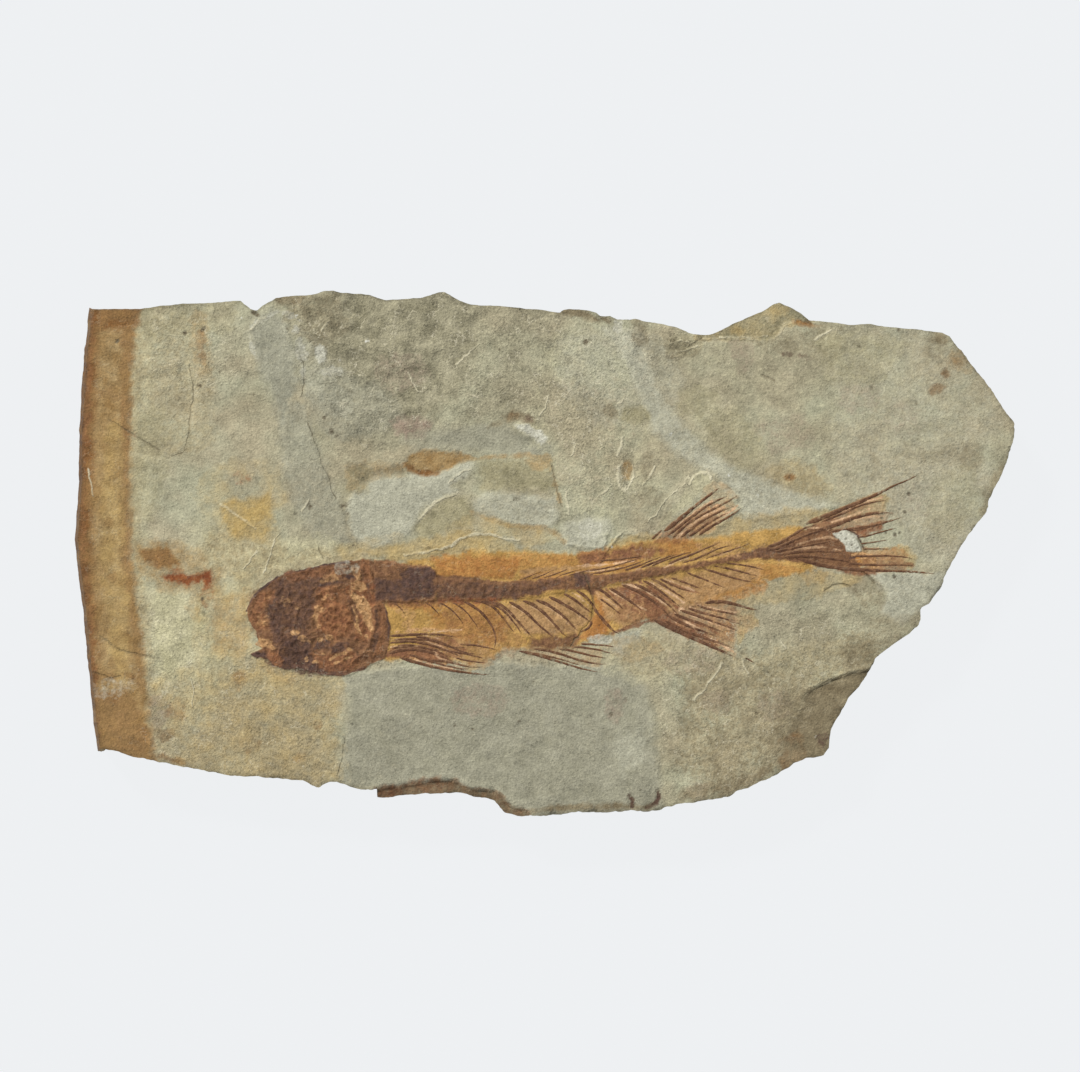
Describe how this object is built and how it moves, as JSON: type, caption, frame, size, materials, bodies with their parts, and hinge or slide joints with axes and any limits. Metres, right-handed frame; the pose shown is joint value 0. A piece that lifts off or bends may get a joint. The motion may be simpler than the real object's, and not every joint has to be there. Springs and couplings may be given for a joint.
{
  "type": "fossil fish slab",
  "caption": "Thin-bedded limestone slab with a small flattened fossil fish in low relief on its upper face; lies flat on its underside.",
  "frame": {"origin": "on the face the slab rests on, under the middle of its box", "axes": "+X from the fish's snout to its tail, along the slab; +Y from its belly to its back; +Z out of the face with the fish"},
  "size_m": [0.1368, 0.0764, 0.0089],
  "materials": {
    "limestone": "matte",
    "fossil_bone": "satin"
  },
  "bodies": {
    "root": {"slab": "limestone"}
  },
  "joints": []
}
